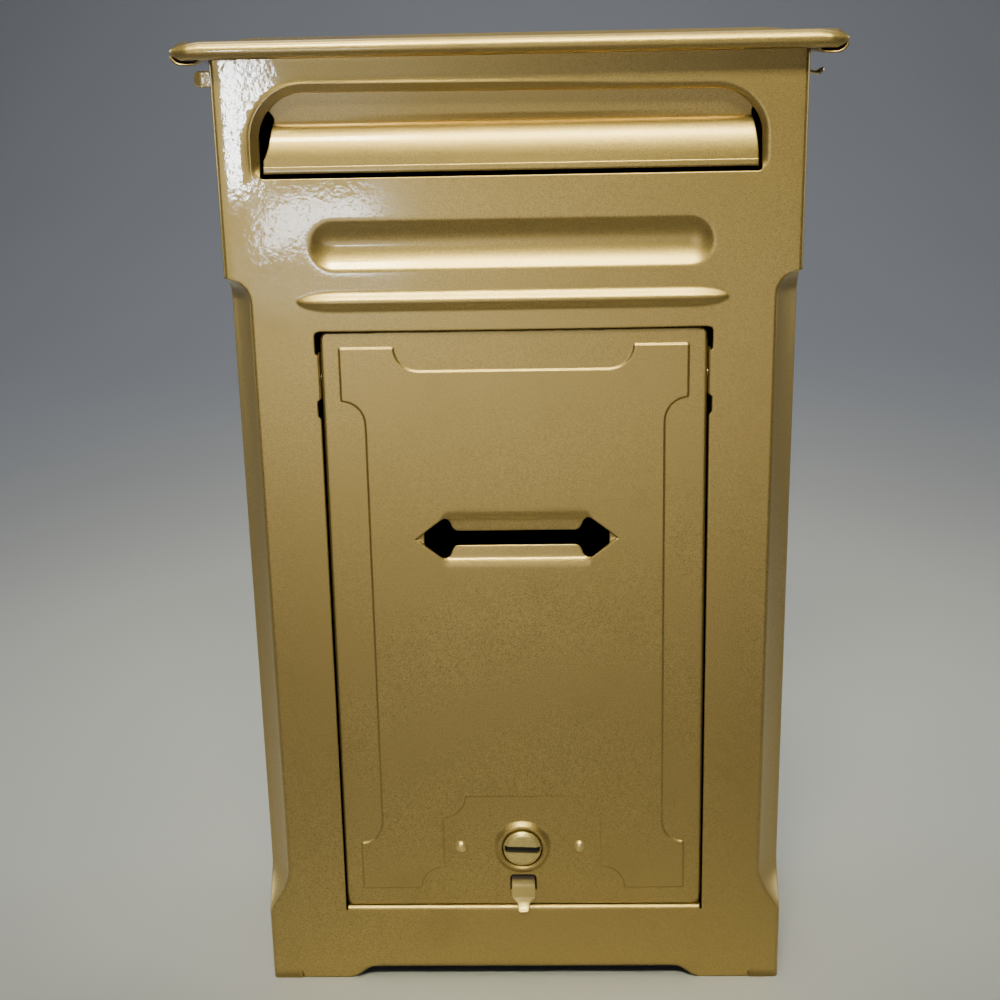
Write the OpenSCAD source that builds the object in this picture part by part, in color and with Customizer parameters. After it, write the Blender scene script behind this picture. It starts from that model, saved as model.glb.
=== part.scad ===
// Pressed-steel wall letter box with a lift-in slot flap, a drop-down collection door and a cam lock.
// Millimetres, +Z up, front towards -Y. Origin: middle of the outer box, on the plane of the feet.

/* [Body] */
// Width of the body just under the roof
body_w_top = 230.6; // [226:0.2:236]
// Width of the body at the feet
body_w_bottom = 225.4; // [223:0.2:230]
// Depth of the body, front sheet to back sheet
body_d = 100; // [90:1:120]
// Height of the walls, feet to the underside of the roof
wall_h = 405.2; // [402:0.2:412]
// Thickness of the body sheet
sheet_t = 1; // [0.8:0.1:1.2]
// Height of the arch between the feet
foot_arch_h = 5.6; // [4:0.2:8]
// Half width of the arch between the feet
foot_arch_half = 67; // [60:1:72]

/* [Corner chamfers] */
// Width of the stopped chamfer on the front
chamfer_x = 10; // [8:0.5:12]
// Depth of the stopped chamfer along the side
chamfer_y = 14; // [10:0.5:16]
// Height where the chamfer starts at the bottom
chamfer_z0 = 33; // [32:1:36]
// Height where the chamfer ends at the top
chamfer_z1 = 317; // [312:1:320]

/* [Roof] */
// Overhang of the roof in front of the body
roof_front = 11.5; // [10.5:0.5:13]
// Half width of the roof over its side curls
roof_half = 128.1; // [128.1:0.1:129]
// Outside radius of the flattened side curls
curl_r = 4.4; // [4:0.1:4.4]
// Width of the flat between the round sides of a curl
curl_flat = 3.8; // [3.2:0.1:3.8]
// Outside radius of the rounded front rim
rim_r = 3.5; // [3:0.1:4]
// Height of the raised field on the roof
roof_field_h = 1; // [0.6:0.1:1.4]

/* [Mail slot] */
// Half width of the mail slot
slot_half = 97.6; // [97:0.1:98]
// Height of the lower edge of the mail slot
slot_z0 = 353.8; // [353:0.1:354.4]
// Height of the upper edge of the mail slot
slot_z1 = 386.3; // [386:0.1:387]
// Radius of the upper corners of the mail slot
slot_r = 18; // [16:0.5:20]
// Width of the turned-in edge round the mail slot
lip_w = 3.3; // [2.5:0.1:4]
// Depth of the turned-in edge behind the sheet
lip_d = 2; // [1.5:0.1:2.5]

/* [Pressed ribs] */
// Length of the pressed-in groove
groove_l = 159; // [150:1:164]
// Height of the pressed-in groove
groove_h = 17.6; // [14:0.2:18]
// Length of the raised bead
bead_l = 171; // [160:1:176]
// Height of the raised bead
bead_h = 7.6; // [6:0.2:9]

/* [Flap] */
// Distance of the flap axis behind the front face
flap_axis_y = 6.8; // [6.5:0.1:7.4]
// Height of the flap axis
flap_axis_z = 392; // [391.5:0.1:392.5]
// Half width of the flap along its folded edge
flap_half = 96.5; // [95:0.1:96.6]
// Height of the ears of the flap
ear_h = 6.3; // [5.5:0.1:6.4]
// How far the ears reach from the middle
ear_reach = 123; // [121:0.5:125]

/* [Door] */
// Half width of the door
door_half = 78; // [77.4:0.1:78]
// Height of the lower edge of the door
door_z0 = 36.5; // [36.3:0.1:38]
// Height of the upper edge of the door
door_z1 = 292.5; // [291:0.1:292.8]
// How far the door face lies behind the front face
door_in = 1.4; // [1.2:0.1:1.6]
// Depth of the side flanges of the door
door_flange = 10.6; // [10:0.1:11]
// Height of the door axis
door_axis_z = 273; // [272.5:0.5:276]
// Radius of the door pins
pin_r = 2; // [1.8:0.1:2.2]

/* [Lock] */
// Height of the lock axis
lock_z = 64; // [63.5:0.5:65]
// Radius of the lock barrel
barrel_r = 8.3; // [8:0.1:8.5]
// Outside radius of the pressed ring round the lock
ring_r = 12.2; // [11.5:0.1:12.5]
// Half the distance between the lock rivets
rivet_x = 25.9; // [24:0.1:27]
// Distance of the rivets' middle from the lock axis, to the left
rivet_off = 0.9; // [0:0.1:1]
// Length of the cam from the lock axis
cam_l = 35; // [33:0.5:36]

/* [Wall fixing] */
// Distance between the wall holes, sideways
wall_hole_dx = 150; // [120:5:160]
// Distance between the wall holes, upwards
wall_hole_dz = 270; // [240:5:280]
// Radius of the wall holes
wall_hole_r = 2.75; // [2.25:0.25:3.25]

/* [Hidden] */
$fn = 48;
gap = 0.3;
run_clear = 0.08;
front_y = roof_front - (body_d + roof_front) / 2;
back_y = front_y + body_d;
t = sheet_t;
half_top = body_w_top / 2;
half_bottom = body_w_bottom / 2;
foot_half = foot_arch_half + 10.8;
ramp_up = 8;
ramp_down = 21;
roof_z = wall_h;
rim_z = roof_z + t - rim_r;
curl_z = roof_z + t - curl_r;
curl_out = roof_half - curl_r;
curl_in = curl_out - curl_flat;
field_half = 100;
open_half = 78.6;
notch_half = 79.7;
lug_half = 78.4;
open_z0 = 35.8;
open_z1 = 293.3;
lug_z0 = 265.5;
lug_z1 = 283.5;
notch_z0 = 258;
bottom_flange = 11;
groove_z = 327.3;
bead_z = 305.2;
groove_deep = 3;
bead_out = 2;
floor_z = 26;
floor_skirt = 11;
return_w = 12;
field_up = 0.6;
cart_x = 70.3;
cart_side = 60.8;
cart_top = 286;
cart_low = 44.5;
cart_r = 10;
lens_z = 205.3;
door_y = front_y + door_in;
axis_y = front_y + 8;
fold_y = 13.6;
fold_z = 375.4;
hem_z = 355.9;
plate_y = door_y + t;
plate_t = 1;
case_t = 1.5;
collar_y = plate_y + plate_t + case_t + gap;
shoulder_y = front_y + 11;
drive = 7;
washer_t = 1;
cam_t = 1.8;
tab_half = 5.1;
wall_hole_z = 205;
back_rivet_z = [40, 205, 370];

paint = [0.62, 0.52, 0.30];
inside_paint = [0.50, 0.42, 0.25];
steel = [0.70, 0.70, 0.68];

// Half width of the body at height z
function half_at(z) = half_bottom + (half_top - half_bottom) * z / wall_h;

// Sheet drawn in XZ and given a thickness along Y
module sheet_xz(y0, y1) {
  translate([0, y1, 0]) rotate([90, 0, 0]) linear_extrude(height = y1 - y0) children();
}

// Profile drawn in YZ and swept along X
module sweep_x(x0, x1) {
  translate([x0, 0, 0]) rotate([90, 0, 90]) linear_extrude(height = x1 - x0) children();
}

// Round bar along Y
module bar_y(x, z, r, y0, y1) {
  translate([x, y1, z]) rotate([90, 0, 0]) cylinder(h = y1 - y0, r = r);
}

// Round bar along X
module bar_x(y, z, r, x0, x1) {
  translate([x0, y, z]) rotate([0, 90, 0]) cylinder(h = x1 - x0, r = r);
}

// Box between two corners
module box(a, b) {
  translate(a) cube(b - a);
}

// Long bar with round ends, along X
module stadium(l, h, z, y0, y1) {
  box([-l / 2 + h / 2, y0, z - h / 2], [l / 2 - h / 2, y1, z + h / 2]);
  for (s = [-1, 1]) bar_y(s * (l / 2 - h / 2), z, h / 2, y0, y1);
}

// Mail slot outline, grown by g at the sides and the top
module slot_cut(g, y0, y1) {
  box([-slot_half - g, y0, slot_z0], [slot_half + g, y1, slot_z1 - slot_r]);
  box([-slot_half + slot_r, y0, slot_z0], [slot_half - slot_r, y1, slot_z1 + g]);
  intersection() {
    for (s = [-1, 1]) bar_y(s * (slot_half - slot_r), slot_z1 - slot_r, slot_r + g, y0, y1);
    box([-half_top, y0, slot_z0], [half_top, y1, wall_h]);
  }
}

// Door opening with its notches above and below the hinge lugs
module door_opening(y0, y1) {
  box([-open_half, y0, open_z0], [open_half, y1, notch_z0]);
  box([-notch_half, y0, notch_z0 - 0.01], [notch_half, y1, lug_z0]);
  box([-lug_half, y0, lug_z0 - 0.01], [lug_half, y1, lug_z1 + 0.01]);
  box([-notch_half, y0, lug_z1], [notch_half, y1, open_z1]);
}

// Outline of the front and back sheets with the arch between the feet
module foot_outline() {
  a = foot_arch_half;
  polygon([[-half_top, wall_h], [-half_bottom, 0], [-foot_half, 0], [-a - 7, 2.2], [-a, foot_arch_h],
    [a, foot_arch_h], [a + 7, 2.2], [foot_half, 0], [half_bottom, 0], [half_top, wall_h]]);
}

// Wedge that the stopped chamfer takes off the left front corner, moved in by d
module corner_wedge(d) {
  zb = chamfer_z0 + ramp_down;
  zt = chamfer_z1 - ramp_up;
  len = norm([chamfer_x, chamfer_y]);
  translate([d * chamfer_y / len, d * chamfer_x / len, 0]) hull() polyhedron(
    points = [[-half_at(chamfer_z0) - 1, front_y - 1, chamfer_z0 - 3.6],
      [-half_at(zb) + chamfer_x + 1, front_y - chamfer_y / 10, zb],
      [-half_at(zb) - 1, front_y + chamfer_y * 1.1, zb],
      [-half_at(chamfer_z1) - 1, front_y - 1, chamfer_z1 + 1.4],
      [-half_at(zt) + chamfer_x + 1, front_y - chamfer_y / 10, zt],
      [-half_at(zt) - 1, front_y + chamfer_y * 1.1, zt]],
    faces = [[0, 1, 2], [3, 5, 4], [0, 3, 4, 1], [1, 4, 5, 2], [2, 5, 3, 0]]);
}

module body_front() {
  color(paint) {
    difference() {
      union() {
        difference() {
          sheet_xz(front_y, front_y + t) foot_outline();
          corner_wedge(0);
          mirror([1, 0, 0]) corner_wedge(0);
        }
        slot_cut(lip_w, front_y + t - 0.01, front_y + t + lip_d);
        stadium(groove_l + 2 * t, groove_h + 2 * t, groove_z, front_y + 0.5, front_y + groove_deep);
        stadium(bead_l, bead_h, bead_z, front_y - bead_out, front_y + 0.5);
      }
      slot_cut(0, front_y - 5, front_y + 5);
      door_opening(front_y - 5, front_y + 5);
      stadium(groove_l, groove_h, groove_z, front_y - 1, front_y + groove_deep - t);
      stadium(bead_l - 2 * t, bead_h - 2 * t, bead_z, front_y - bead_out + t, front_y + 5);
    }
    box([-open_half, front_y, open_z0 - t], [open_half, front_y + bottom_flange, open_z0]);
  }
}

// Wall strip following the slant of the side, between two depths and two heights
module side_strip(s, y0, y1, z0, z1, in0, in1) {
  sheet_xz(y0, y1) polygon([[s * (half_at(z0) - in0), z0], [s * (half_at(z1) - in0), z1],
    [s * (half_at(z1) - in1), z1], [s * (half_at(z0) - in1), z0]]);
}

// Left side wall with its chamfer strip and the flange that the back sheet is riveted to
module body_side_left() {
  color(paint) difference() {
    side_strip(-1, front_y + t, back_y - t, 0, wall_h, 0, return_w);
    corner_wedge(0);
    difference() {
      side_strip(-1, front_y - 5, back_y - 2 * t, -1, wall_h + 1, t, return_w + 1);
      corner_wedge(t);
    }
    side_strip(-1, back_y - 2 * t - 1, back_y, wall_h - 4, wall_h + 1, t, return_w + 1);
    side_strip(-1, back_y - 2 * t - 1, back_y, -1, 8, t, return_w + 1);
    bar_x(front_y + flap_axis_y, flap_axis_z, ear_h / 2 + 0.35, -half_top - 8, -half_top + 8);
    for (z = back_rivet_z) bar_y(-half_at(z) + 6, z, 1.6, back_y - 5, back_y + 1);
    sweep_x(-half_top - 10, -half_top + 10) foot_gap();
  }
}

// Gap between the front and back foot of a side wall
module foot_gap() {
  f = 34;
  polygon([[front_y + f, -1], [front_y + f, 0], [front_y + f + 11, foot_arch_h],
    [back_y - f - 11, foot_arch_h], [back_y - f, 0], [back_y - f, -1]]);
}

module body_side_right() { mirror([1, 0, 0]) body_side_left(); }

module back_panel() {
  color(inside_paint) difference() {
    sheet_xz(back_y - t, back_y) foot_outline();
    for (sx = [-1, 1], sz = [-1, 1])
      bar_y(sx * wall_hole_dx / 2, wall_hole_z + sz * wall_hole_dz / 2,
        wall_hole_r, back_y - 3, back_y + 1);
    for (s = [-1, 1], z = back_rivet_z) bar_y(s * (half_at(z) - 6), z, 1.6, back_y - 5, back_y + 1);
  }
}

module back_rivets() {
  color(steel) for (s = [-1, 1], z = back_rivet_z) {
    bar_y(s * (half_at(z) - 6), z, 1.6, back_y - 2 * t - 0.5, back_y);
    bar_y(s * (half_at(z) - 6), z, 3.2, back_y - 2 * t - 1.2, back_y - 2 * t);
  }
}

module floor_pan() {
  w = half_at(floor_z - floor_skirt) - t;
  y0 = front_y + t;
  y1 = back_y - 2 * t;
  color(inside_paint) difference() {
    box([-w, y0, floor_z - floor_skirt], [w, y1, floor_z]);
    box([-w + t, y0 + t, floor_z - floor_skirt - 1], [w - t, y1 - t, floor_z - t]);
  }
}

// Flattened tube along Y at the outer edge of the roof on side s, of outside radius r
module curl_bar(s, r, y0, y1) {
  bar_y(s * curl_out, curl_z, r, y0, y1);
  bar_y(s * curl_in, curl_z, r, y0, y1);
  box([s > 0 ? curl_in : -curl_out, y0, curl_z - r], [s > 0 ? curl_out : -curl_in, y1, curl_z + r]);
}

module roof_sheet() {
  y0 = front_y - roof_front + rim_r;
  z1 = roof_z + t;
  color(paint) {
    difference() {
      box([-curl_out, y0, roof_z], [curl_out, back_y, z1]);
      box([-field_half + 2, front_y + 6, roof_z - 1], [field_half - 2, back_y - 12, z1 + 1]);
    }
    box([-field_half, front_y + 4, z1 - 0.2], [field_half, back_y - 10, z1 + roof_field_h]);
    difference() {
      bar_x(y0, rim_z, rim_r, -curl_out - 1, curl_out + 1);
      bar_x(y0, rim_z, rim_r - t, -curl_out - 3, curl_out + 3);
      box([-curl_out - 3, y0, rim_z - rim_r - 1], [curl_out + 3, y0 + rim_r + 1, rim_z + rim_r + 1]);
    }
    box([-curl_out - 1, y0 - 0.01, rim_z - rim_r], [curl_out + 1, front_y - 2, rim_z - rim_r + t]);
    for (s = [-1, 1]) difference() {
      curl_bar(s, curl_r, front_y - roof_front, back_y);
      curl_bar(s, curl_r - t, front_y - roof_front - 1, back_y + 1);
      box([s > 0 ? curl_in - 6 : -curl_in - 1, front_y - 20, curl_z + 1.4],
        [s > 0 ? curl_in + 1 : -curl_in + 6, back_y + 1, curl_z + curl_r + 1]);
    }
    for (s = [-1, 1])
      box([s * curl_out - 0.5, front_y - roof_front, roof_z], [s * curl_out + 0.5, back_y, z1]);
  }
}

// Angle that ties the roof to a side wall
module roof_cleat(s) {
  color(inside_paint) {
    side_strip(s, front_y + 30, back_y - 22, wall_h - 20, wall_h, t, t + 1.2);
    sheet_xz(front_y + 30, back_y - 22)
      polygon([[s * (half_top - t - 0.2), wall_h - 1.2], [s * (half_top - 16), wall_h - 1.2],
        [s * (half_top - 16), wall_h], [s * (half_top - t - 0.2), wall_h]]);
  }
}

module roof_cleat_left() { roof_cleat(-1); }
module roof_cleat_right() { roof_cleat(1); }

// Lug turned in from the edge of the door opening
module hinge_lug(s) {
  color(paint) difference() {
    union() {
      box([s > 0 ? lug_half : -lug_half - t, front_y + t, lug_z0],
        [s > 0 ? lug_half + t : -lug_half, front_y + 9, lug_z1]);
      bar_x(axis_y, door_axis_z, 7,
        s > 0 ? lug_half : -lug_half - t, s > 0 ? lug_half + t : -lug_half);
    }
    bar_x(axis_y, door_axis_z, pin_r, s * lug_half - 3, s * lug_half + 3);
    box([-100, front_y - 10, lug_z0 - 5], [100, front_y + t, lug_z1 + 5]);
  }
}

module hinge_lug_left() { hinge_lug(-1); }
module hinge_lug_right() { hinge_lug(1); }

// Pin held by the lug, turning in the flange of the door
module hinge_pin(s) {
  x0 = door_half - t - gap - 1;
  x1 = lug_half + t + 1.4;
  color(steel) {
    bar_x(axis_y, door_axis_z, pin_r, s > 0 ? x0 : -x1, s > 0 ? x1 : -x0);
    bar_x(axis_y, door_axis_z, pin_r + 1.4, s > 0 ? x0 : -x0 - 1, s > 0 ? x0 + 1 : -x0);
    bar_x(axis_y, door_axis_z, pin_r + 1.8, s > 0 ? x1 - 1.4 : -x1, s > 0 ? x1 : -x1 + 1.4);
  }
}

module hinge_pin_left() { hinge_pin(-1); }
module hinge_pin_right() { hinge_pin(1); }

// Curved section of the flap: back from the axis, then forwards to the folded edge
module flap_section() {
  y0 = front_y + flap_axis_y - t / 2;
  ya = front_y + fold_y;
  rise = fold_z - hem_z;
  run = fold_y - 0.2;
  steps = [0:9:90];
  polygon(concat(
    [[y0, flap_axis_z - ear_h / 2 - 0.2], [y0 + t, flap_axis_z - ear_h / 2 - 0.2]],
    [[ya + t, fold_z]],
    [for (a = steps) [ya - (run - t) * sin(a), hem_z + (rise - t) * cos(a)]],
    [for (a = steps) [ya - run * sin(90 - a), hem_z + rise * cos(90 - a)]],
    [[ya - 0.6, fold_z]]));
}

module flap_panel() {
  za = flap_axis_z - ear_h / 2;
  zb = flap_axis_z + ear_h / 2;
  ym = front_y + flap_axis_y;
  color(paint) {
    intersection() {
      union() {
        sweep_x(-flap_half, flap_half) flap_section();
        box([-flap_half, front_y + 0.2, hem_z], [flap_half, front_y + 2.4, hem_z + 4]);
      }
      sheet_xz(front_y - 1, front_y + 30) polygon([[-flap_half, hem_z - 1], [flap_half, hem_z - 1],
        [flap_half, 361], [flap_half - 1.2, 365], [flap_half - 2.6, 369], [flap_half - 5, 373.5],
        [flap_half - 7.5, 377.5], [flap_half - 7.5, za], [-flap_half + 7.5, za],
        [-flap_half + 7.5, 377.5], [-flap_half + 5, 373.5], [-flap_half + 2.6, 369],
        [-flap_half + 1.2, 365], [-flap_half, 361]]);
    }
    box([-ear_reach, ym - t / 2, za], [half_top - 3, ym + t / 2, zb]);
    box([-flap_half + 7.5, ym - t / 2, za - 1], [flap_half - 7.5, ym + t / 2, za + 1]);
    box([half_top - 5, ym - ear_h / 2, flap_axis_z - t / 2],
      [ear_reach, ym + ear_h / 2, flap_axis_z + t / 2]);
  }
}

// Raised field of the door: two wide ends joined by a narrower middle, with hollow round corners
module door_field(y0, y1) {
  difference() {
    union() {
      box([-cart_x, y0, cart_top - 31], [cart_x, y1, cart_top]);
      box([-cart_side, y0, cart_low + 20], [cart_side, y1, cart_top - 30]);
      box([-cart_x, y0, cart_low], [cart_x, y1, cart_low + 32]);
    }
    box([-39, y0 - 1, cart_top - 9.8], [39, y1 + 1, cart_top + 1]);
    box([-34.2, y0 - 1, cart_low - 1], [34.2, y1 + 1, cart_low + 34]);
    box([-24.5, y0 - 1, cart_low + 33], [24.5, y1 + 1, cart_low + 44]);
    box([-43.5, y0 - 1, cart_low - 1], [43.5, y1 + 1, cart_low + 9.8]);
    for (s = [-1, 1]) {
      bar_y(s * 38.5, cart_top, 9.8, y0 - 1, y1 + 1);
      bar_y(s * (cart_x + 0.5), cart_top - 31.5, cart_r, y0 - 1, y1 + 1);
      bar_y(s * (cart_x + 0.5), cart_low + 32, cart_r, y0 - 1, y1 + 1);
      bar_y(s * 39, cart_low, cart_r, y0 - 1, y1 + 1);
      bar_y(s * 24.5, cart_low + 34, 9.8, y0 - 1, y1 + 1);
    }
  }
}

// Viewing slot with an arrow head at each end
module lens_cut(y0, y1) {
  box([-24.8, y0, lens_z - 3.1], [24.8, y1, lens_z + 3.1]);
  for (s = [-1, 1]) sheet_xz(y0, y1) polygon([[s * 24, lens_z - 4.6], [s * 30.3, lens_z - 8.4],
    [s * 38.3, lens_z - 2.4], [s * 38.3, lens_z + 2.4], [s * 30.3, lens_z + 8.4], [s * 24, lens_z + 4.6]]);
}

module door_panel() {
  y1 = door_y + t;
  color(paint) difference() {
    union() {
      box([-door_half, door_y, door_z0], [door_half, y1, door_z1]);
      door_field(door_y - field_up, door_y + 0.01);
      bar_y(0, lock_z, ring_r, door_y - 1.2, door_y + 0.01);
      for (s = [-1, 1]) box([s > 0 ? door_half - t : -door_half, door_y, door_z0 + 4],
        [s > 0 ? door_half : -door_half + t, door_y + door_flange, door_z1 - 4]);
    }
    bar_y(0, lock_z, barrel_r + run_clear, door_y - 5, y1 + 1);
    for (s = [-1, 1]) bar_y(s * rivet_x - rivet_off, lock_z, 1.6, door_y - 1, y1 + 1);
    lens_cut(door_y - 5, y1 + 1);
    box([-tab_half - 0.5, door_y - 1, 43.2], [tab_half + 0.5, y1 + 1, 50.4]);
    bar_x(axis_y, door_axis_z, pin_r + run_clear, -door_half - 1, -door_half + 3);
    bar_x(axis_y, door_axis_z, pin_r + run_clear, door_half - 3, door_half + 1);
  }
}

// Doubler behind the door with the finger tongue that comes out through the window
module pull_plate() {
  y0 = plate_y;
  f = front_y;
  color(paint) {
    difference() {
      box([-32, y0, 54.5], [32, y0 + plate_t, 77]);
      bar_y(0, lock_z, barrel_r + run_clear, y0 - 1, y0 + 3);
      for (s = [-1, 1]) bar_y(s * rivet_x - rivet_off, lock_z, 1.6, y0 - 1, y0 + 3);
    }
    sweep_x(-tab_half, tab_half) polygon([[y0, 55], [y0, 48.8], [f + 0.3, 45.8], [f + 0.3, 40.5],
      [f - 0.9, 37.6], [f - 3.6, 34.6], [f - 3, 33.8], [f - 0.2, 36.4], [f + 1.3, 40.2],
      [f + 1.3, 44.6], [y0 + plate_t, 47.6], [y0 + plate_t, 55]]);
  }
}

module lock_plate() {
  y0 = plate_y + plate_t;
  color(steel) difference() {
    box([-31, y0, 55.5], [31, y0 + case_t, 75]);
    bar_y(0, lock_z, barrel_r + run_clear, y0 - 1, y0 + 3);
    for (s = [-1, 1]) bar_y(s * rivet_x - rivet_off, lock_z, 1.6, y0 - 1, y0 + 3);
  }
}

// Shallow round head with its top towards the front
module dome_y(x, z, r, h, y) {
  rs = (r * r + h * h) / (2 * h);
  intersection() {
    translate([x, y + rs - h, z]) sphere(r = rs);
    bar_y(x, z, r, y - h - 1, y);
  }
}

module lock_rivets() {
  color(paint) for (s = [-1, 1]) {
    bar_y(s * rivet_x - rivet_off, lock_z, 1.6, door_y - 0.2, plate_y + plate_t + case_t + 0.5);
    dome_y(s * rivet_x - rivet_off, lock_z, 2.75, 1.2, door_y);
    bar_y(s * rivet_x - rivet_off, lock_z, 2.8,
      plate_y + plate_t + case_t, plate_y + plate_t + case_t + 1);
  }
}

module lock_barrel() {
  color(steel) difference() {
    union() {
      bar_y(0, lock_z, barrel_r, front_y - 2, shoulder_y);
      bar_y(0, lock_z, barrel_r + 1.7, collar_y, collar_y + 1.3);
      box([-drive / 2, shoulder_y - 0.01, lock_z - drive / 2],
        [drive / 2, shoulder_y + washer_t + cam_t, lock_z + drive / 2]);
    }
    box([-7.5, front_y - 3, lock_z - 1.4], [7.5, front_y + 0.2, lock_z + 1.4]);
    bar_y(0, lock_z, 1.8, shoulder_y - 5, shoulder_y + 5);
  }
}

module cam_washer() {
  color(steel) difference() {
    bar_y(0, lock_z, 8, shoulder_y, shoulder_y + washer_t);
    bar_y(0, lock_z, drive * 0.72, shoulder_y - 1, shoulder_y + 2);
  }
}

// Lever that drops behind the lower flange of the door opening
module lock_cam() {
  y0 = shoulder_y + washer_t;
  color(steel) difference() {
    union() {
      bar_y(0, lock_z, 8, y0, y0 + cam_t);
      box([0, y0, lock_z - 6], [cam_l - 3, y0 + cam_t, lock_z + 6]);
      box([0, y0, lock_z - 3], [cam_l, y0 + cam_t, lock_z + 3]);
      for (s = [-1, 1]) bar_y(cam_l - 3, lock_z + s * 3, 3, y0, y0 + cam_t);
    }
    box([-drive / 2 - 0.05, y0 - 1, lock_z - drive / 2 - 0.05],
      [drive / 2 + 0.05, y0 + 3, lock_z + drive / 2 + 0.05]);
  }
}

module cam_screw() {
  y0 = shoulder_y + washer_t + cam_t;
  color(steel) difference() {
    union() {
      bar_y(0, lock_z, 1.8, shoulder_y - 4.5, y0 + 0.01);
      bar_y(0, lock_z, 6, y0, y0 + 2.2);
    }
    box([-7, y0 + 1.2, lock_z - 0.5], [7, y0 + 3, lock_z + 0.5]);
  }
}

body_front();
body_side_left();
body_side_right();
back_panel();
floor_pan();
roof_sheet();
roof_cleat_left();
roof_cleat_right();
back_rivets();
hinge_lug_left();
hinge_lug_right();
hinge_pin_left();
hinge_pin_right();
flap_panel();
door_panel();
pull_plate();
lock_plate();
lock_rivets();
lock_barrel();
cam_washer();
lock_cam();
cam_screw();
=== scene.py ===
"""Looks of the pressed-steel letter box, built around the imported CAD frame."""

import math

import bpy
import numpy as np
from mathutils import Matrix, Vector
from mathutils.geometry import delaunay_2d_cdt


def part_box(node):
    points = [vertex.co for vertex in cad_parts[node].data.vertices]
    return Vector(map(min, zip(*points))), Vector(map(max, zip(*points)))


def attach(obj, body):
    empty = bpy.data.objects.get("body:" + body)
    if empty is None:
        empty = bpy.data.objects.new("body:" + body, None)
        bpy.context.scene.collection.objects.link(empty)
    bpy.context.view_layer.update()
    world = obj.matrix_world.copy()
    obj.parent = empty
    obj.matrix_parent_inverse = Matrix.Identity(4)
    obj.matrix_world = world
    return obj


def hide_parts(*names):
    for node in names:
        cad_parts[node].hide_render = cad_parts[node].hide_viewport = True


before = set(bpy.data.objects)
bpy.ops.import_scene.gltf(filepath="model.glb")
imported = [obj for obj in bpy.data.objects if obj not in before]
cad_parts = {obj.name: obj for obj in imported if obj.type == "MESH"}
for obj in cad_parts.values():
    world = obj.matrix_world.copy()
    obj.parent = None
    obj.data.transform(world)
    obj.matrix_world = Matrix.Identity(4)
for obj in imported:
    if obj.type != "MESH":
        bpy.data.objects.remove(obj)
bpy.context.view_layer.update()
MM = 0.001

# ---------------------------------------------------------------- sizes, in mm, from the frame
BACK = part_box("back_panel")[1].y * 1000
FRONT = BACK - 100.0
WALL_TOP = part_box("body_front")[1].z * 1000
HALF_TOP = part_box("body_front")[1].x * 1000
HALF_FOOT = HALF_TOP - 2.6
SHEET = 0.9
CHAMFER = (33.0, 317.0)
SLOT = dict(half=97.6, z0=353.8, z1=386.3, r=18.0, lip=3.4)
DOOR = dict(half=77.95, z0=36.5, z1=292.5, y=FRONT + 1.4)
AXIS_FLAP = Vector((0, FRONT + 6.8, 392.0))
LOCK_Z = 64.0
RIVET_X, RIVET_OFF = 25.9, 0.9
LENS_Z = 205.3


def half_at(z):
    """Half width of the body at height z."""
    return HALF_FOOT + (HALF_TOP - HALF_FOOT) * z / WALL_TOP


def smooth(t):
    """Smooth step from 0 to 1, for arrays."""
    t = np.clip(t, 0, 1)
    return t * t * (3 - 2 * t)


# ---------------------------------------------------------------- shapes in the plane
def arc(cx, cz, r, a0, a1, n):
    """Points on an arc, angles in degrees."""
    a = np.radians(np.linspace(a0, a1, n))
    return np.stack([cx + r * np.cos(a), cz + r * np.sin(a)], 1)


def closed(points, step):
    """The closed outline with its long sides divided into steps."""
    out = []
    points = np.asarray(points, float)
    for a, b in zip(points, np.roll(points, -1, 0)):
        n = max(1, int(math.ceil(np.linalg.norm(b - a) / step)))
        out += [a + (b - a) * i / n for i in range(n)]
    return np.array(out)


def inside(p, outline):
    """True for the points p inside a closed outline."""
    x, z = p[:, 0], p[:, 1]
    hit = np.zeros(len(p), bool)
    for (x0, z0), (x1, z1) in zip(outline, np.roll(outline, -1, 0)):
        if z0 == z1:
            continue
        cross = (z0 > z) != (z1 > z)
        hit ^= cross & (x < (x1 - x0) * (z - z0) / (z1 - z0) + x0)
    return hit


def near(p, outline):
    """Distance of the points p from a closed outline."""
    best = np.full(len(p), 1e9)
    for a, b in zip(outline, np.roll(outline, -1, 0)):
        d = b - a
        t = np.clip(((p - a) @ d) / max(d @ d, 1e-12), 0, 1)
        best = np.minimum(best, np.linalg.norm(p - (a + t[:, None] * d), axis=1))
    return best


def signed(p, outline):
    """Distance from the outline, negative inside."""
    return near(p, outline) * np.where(inside(p, outline), -1, 1)


def ticks(lo, hi, coarse, fine, edges, reach):
    """Grid lines from lo to hi: fine within reach of each edge, coarse elsewhere."""
    out = [lo]
    while out[-1] < hi:
        d = min(abs(out[-1] - e) for e in edges)
        out.append(out[-1] + (fine if d < reach else min(coarse,
            max(fine, (d - reach) * 0.5 + fine))))
    out[-1] = hi
    return np.array(out)


# ---------------------------------------------------------------- meshes
def mesh_object(name, verts, faces, body, material, smooth_faces=True):
    """A mesh piece from points in mm that rides on a CAD body."""
    me = bpy.data.meshes.new(name)
    me.from_pydata([tuple(v) for v in np.asarray(verts, float) * MM], [],
                   [tuple(map(int, f)) for f in faces])
    me.validate()
    me.update()
    if smooth_faces:
        me.polygons.foreach_set("use_smooth", [True] * len(me.polygons))
    ob = bpy.data.objects.new(name, me)
    bpy.context.scene.collection.objects.link(ob)
    me.materials.append(material)
    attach(ob, body)
    return ob


def grid_faces(rows, cols, flip=False, wrap=False):
    """Quads of a rows by cols grid of points."""
    out = []
    for i in range(rows - 1):
        for j in range(cols if wrap else cols - 1):
            k = (j + 1) % cols
            q = (i * cols + j, i * cols + k, (i + 1) * cols + k, (i + 1) * cols + j)
            out.append(q[::-1] if flip else q)
    return out


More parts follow.
